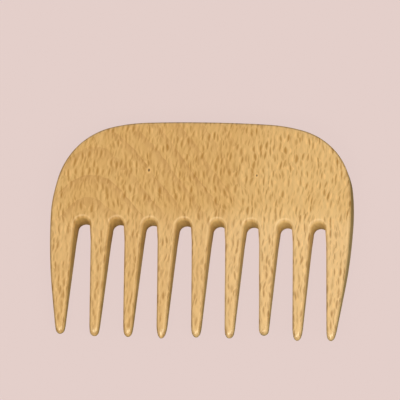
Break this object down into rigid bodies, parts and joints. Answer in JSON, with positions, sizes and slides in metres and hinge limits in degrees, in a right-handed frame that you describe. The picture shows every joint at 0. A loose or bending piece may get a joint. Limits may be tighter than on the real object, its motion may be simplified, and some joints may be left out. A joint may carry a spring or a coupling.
{
  "type": "wide tooth comb",
  "caption": "One-piece beech pocket comb with a rounded crown, an arched spine and wide tapered teeth with rounded tips.",
  "frame": {"origin": "under the middle of the bounding box, on the back face that the comb lies on", "axes": "+X along the spine, +Y from the tooth tips to the crown, +Z through the thickness, out of the front face"},
  "size_m": [0.0988, 0.0724, 0.01],
  "materials": {
    "beech": "fine-sanded and oiled, satin"
  },
  "bodies": {
    "root": {"comb": "beech"}
  },
  "joints": []
}
